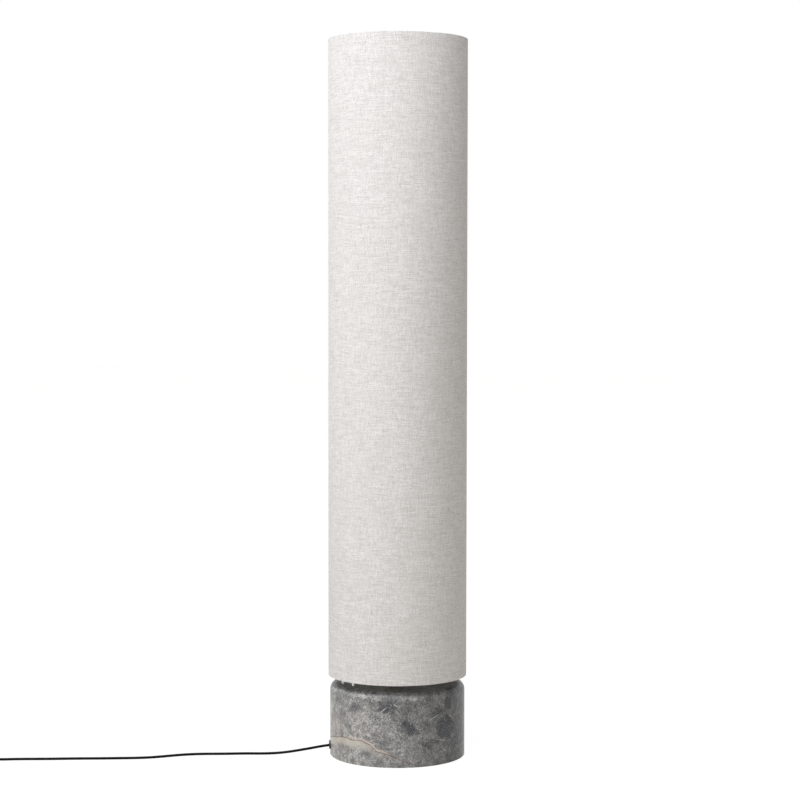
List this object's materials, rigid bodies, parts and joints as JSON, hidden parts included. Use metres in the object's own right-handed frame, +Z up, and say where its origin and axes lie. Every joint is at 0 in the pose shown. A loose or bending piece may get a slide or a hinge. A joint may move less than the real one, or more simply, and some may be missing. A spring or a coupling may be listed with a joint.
{
  "type": "column floor lamp",
  "caption": "Floor lamp with a tall cylindrical fabric shade held over a round stone base, with a corded foot switch.",
  "frame": {"origin": "centre of the stone base's underside, on the floor, on the axis of the shade", "axes": "+Z up along the axis of pole, base and shade; -Y towards the viewer; the cord leaves towards -X"},
  "size_m": [1.0138, 0.2573, 1.2],
  "materials": {
    "marble": "honed grey marble",
    "felt": "pressed felt",
    "zinc_steel": "zinc-plated steel",
    "brass": "turned brass",
    "dark_paint": "matt black powder coat",
    "satin_steel": "satin nickel",
    "grey_plastic": "moulded nylon",
    "white_plastic": "moulded plastic",
    "bulb_metal": "rolled cap",
    "opal": "opal polycarbonate",
    "linen": "slub-weave linen blend",
    "liner_film": "translucent styrene film",
    "black_pvc": "flexible cord sheath",
    "black_plastic": "moulded black plastic",
    "button_plastic": "moulded dark grey plastic",
    "tie_strap": "woven hook-and-loop strap",
    "pin_metal": "nickel-plated brass"
  },
  "bodies": {
    "base": {"stone_base": "marble", "felt_ring": "felt", "bottom_cover": "zinc_steel", "cover_screws": "zinc_steel", "cover_inserts": "brass", "pole_nipple": "zinc_steel", "nipple_nut": "zinc_steel", "nipple_washer": "zinc_steel", "pole_foot": "dark_paint", "pole": "satin_steel", "pole_cap": "satin_steel", "cable_gland": "grey_plastic", "gland_nut": "zinc_steel", "cord_clamp": "white_plastic", "clamp_screws": "zinc_steel", "terminal_block": "white_plastic", "terminal_screws": "zinc_steel", "base_cord": "black_pvc", "lead_1": "white_plastic", "lead_2": "white_plastic", "lead_3": "white_plastic", "shade_carrier": "dark_paint", "carrier_pegs": "white_plastic", "grub_screws": "zinc_steel", "bracket_1": "zinc_steel", "bracket_2": "zinc_steel", "bracket_3": "zinc_steel", "bracket_screws": "zinc_steel", "holder_1_shell": "white_plastic", "holder_2_shell": "white_plastic", "holder_3_shell": "white_plastic", "holder_1_contacts": "brass", "holder_2_contacts": "brass", "holder_3_contacts": "brass", "lamp_cord": "black_pvc", "supply_cord": "black_pvc", "cord_coil": "black_pvc", "coil_tie": "tie_strap", "switch_base": "black_plastic", "switch_cover": "black_plastic", "switch_screws": "zinc_steel", "switch_spring": "zinc_steel", "plug_body": "black_plastic", "plug_pins": "pin_metal"},
    "shade": {"shade_fabric": "linen", "shade_liner": "liner_film", "shade_spider": "zinc_steel", "shade_bottom_ring": "zinc_steel", "finial_washer": "satin_steel"},
    "finial": {"finial": "satin_steel"},
    "bulb_1": {"bulb_1_cap": "bulb_metal", "bulb_1_housing": "white_plastic", "bulb_1_globe": "opal"},
    "bulb_2": {"bulb_2_cap": "bulb_metal", "bulb_2_housing": "white_plastic", "bulb_2_globe": "opal"},
    "bulb_3": {"bulb_3_cap": "bulb_metal", "bulb_3_housing": "white_plastic", "bulb_3_globe": "opal"},
    "switch_button": {"switch_button": "button_plastic"}
  },
  "joints": [
    {"name": "shade_lift", "type": "slide", "parent": "base", "child": "shade", "axis": [0, 0, 1], "range_m": [0, 1.09]},
    {"name": "finial_turn", "type": "hinge", "parent": "shade", "child": "finial", "pos_m": [0, 0, 1.185], "axis": [0, 0, 1], "range_deg": [0, 1800]},
    {"name": "bulb_1_turn", "type": "hinge", "parent": "base", "child": "bulb_1", "pos_m": [0, 0.046, 0.272], "axis": [0, 0, 1], "range_deg": [0, 1080]},
    {"name": "bulb_2_turn", "type": "hinge", "parent": "base", "child": "bulb_2", "pos_m": [-0.03984, -0.023, 0.6263], "axis": [0, 0, 1], "range_deg": [0, 1080]},
    {"name": "bulb_3_turn", "type": "hinge", "parent": "base", "child": "bulb_3", "pos_m": [0.03984, -0.023, 0.9806], "axis": [0, 0, 1], "range_deg": [0, 1080]},
    {"name": "button_press", "type": "slide", "parent": "base", "child": "switch_button", "axis": [0, 0, -1], "range_m": [0, 0.003], "stiffness_N_per_m": 1500, "springref_m": -0.0015, "deforming": ["switch_spring"]}
  ]
}
